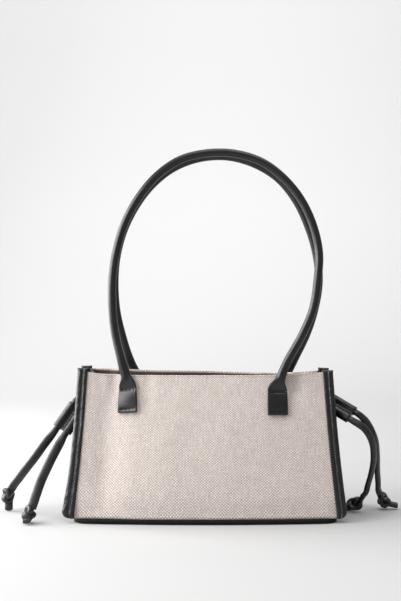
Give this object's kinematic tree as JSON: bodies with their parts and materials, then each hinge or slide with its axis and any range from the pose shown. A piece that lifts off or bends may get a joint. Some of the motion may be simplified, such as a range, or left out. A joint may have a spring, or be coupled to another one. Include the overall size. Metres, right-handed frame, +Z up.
{
  "type": "linen shoulder bag",
  "caption": "Trapezoid shoulder bag of oatmeal linen with black leather bindings, rolled handles and side drawcords.",
  "frame": {"origin": "middle of the base, on the surface that the bag stands on", "axes": "+Z up, front facing -Y, +X to the right of someone who looks at the front"},
  "size_m": [0.4447, 0.1232, 0.4018],
  "materials": {
    "linen": "matte",
    "black_leather": "satin"
  },
  "bodies": {
    "root": {"front_panel": "linen", "back_panel": "linen", "base": "black_leather", "left_gusset": "black_leather", "right_gusset": "black_leather", "binding_front_left": "black_leather", "binding_front_right": "black_leather", "binding_back_left": "black_leather", "binding_back_right": "black_leather", "handle_front": "black_leather", "handle_back": "black_leather", "cord_left_near": "black_leather", "cord_left_far": "black_leather", "loop_left": "black_leather", "slider_left": "black_leather", "knot_left_near": "black_leather", "knot_left_far": "black_leather", "cord_right_near": "black_leather", "cord_right_far": "black_leather", "loop_right": "black_leather", "slider_right": "black_leather", "knot_right_near": "black_leather", "knot_right_far": "black_leather"}
  },
  "joints": []
}
